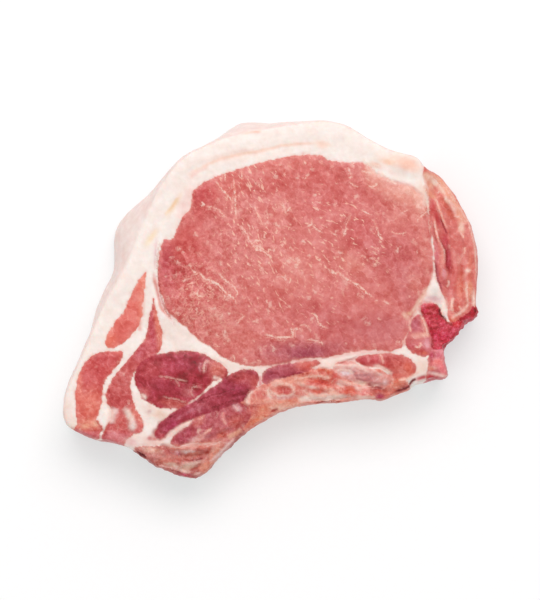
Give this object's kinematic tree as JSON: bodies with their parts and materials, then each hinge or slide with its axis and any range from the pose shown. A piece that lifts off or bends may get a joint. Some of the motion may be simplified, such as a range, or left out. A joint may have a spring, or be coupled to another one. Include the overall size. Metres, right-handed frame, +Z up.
{
  "type": "raw pork chop",
  "caption": "Raw pork rib chop with a marbled loin eye, a thick pale fat cap with the rind on its side, darker belly muscles, rib and backbone ends, lying flat.",
  "frame": {"origin": "centre of the chop's footprint, on the flat face that it lies on", "axes": "+Z up out of the upper cut face, +X towards the backbone side, +Y towards the rind"},
  "size_m": [0.1416, 0.1222, 0.023],
  "materials": {
    "fat": "smooth pale fat, slightly waxy, pink rind on its side",
    "loin_lean": "moist pink muscle, fine grain, cream marbling",
    "belly_lean": "moist orange-red muscle",
    "dark_lean": "moist dark crimson muscle with pale membranes",
    "rib_lean": "moist orange-pink meat mixed with fat",
    "bone": "sawn rib bone, greyish pink",
    "marrow": "wet crimson marrow, rough",
    "flap_lean": "moist folded muscle, pale edges"
  },
  "bodies": {
    "root": {"fat": "fat", "loin_eye": "loin_lean", "upper_strip": "belly_lean", "flank_muscle": "belly_lean", "belly_strip": "belly_lean", "round_muscle": "dark_lean", "rib_muscle": "dark_lean", "lower_muscle": "dark_lean", "small_rib_muscle": "dark_lean", "belly_tip": "rib_lean", "oval_muscle": "belly_lean", "rib_bone": "bone", "rib_meat": "rib_lean", "chine_marrow": "marrow", "chine_muscle": "loin_lean", "chine_meat": "rib_lean", "back_flap": "flap_lean"}
  },
  "joints": []
}
